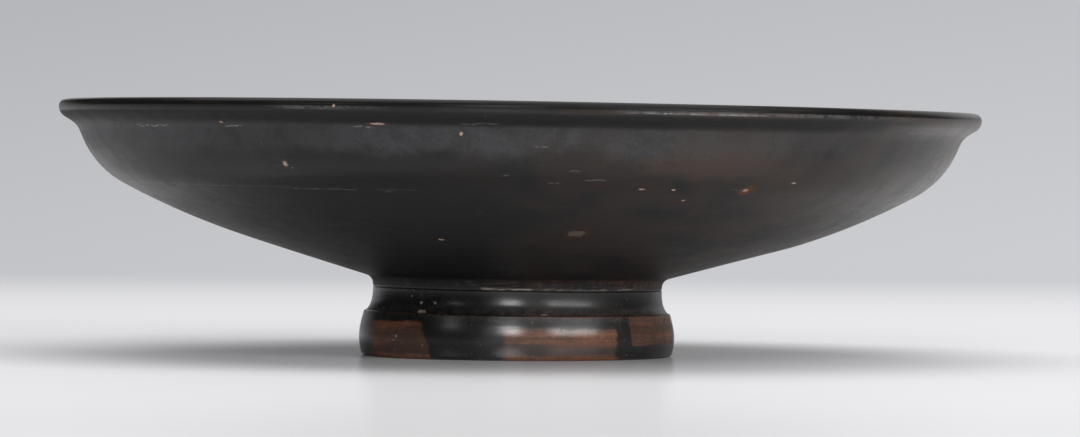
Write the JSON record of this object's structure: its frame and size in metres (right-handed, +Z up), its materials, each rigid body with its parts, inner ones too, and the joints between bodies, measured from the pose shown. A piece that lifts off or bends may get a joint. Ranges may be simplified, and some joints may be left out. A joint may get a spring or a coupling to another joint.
{
  "type": "patera",
  "caption": "Shallow round pottery dish with a sloping bowl, an upright wall, a flared lip and a moulded ring foot, hollow underneath; it stands on its foot.",
  "frame": {"origin": "under the middle of the rim, on the surface that the foot stands on", "axes": "+Z up, out of the bowl; +X is the side that the bowl leans to, by under a degree; the picture looks along +Y"},
  "size_m": [0.24, 0.24, 0.066],
  "materials": {
    "black_gloss": "gloss"
  },
  "bodies": {
    "root": {"patera": "black_gloss"}
  },
  "joints": []
}
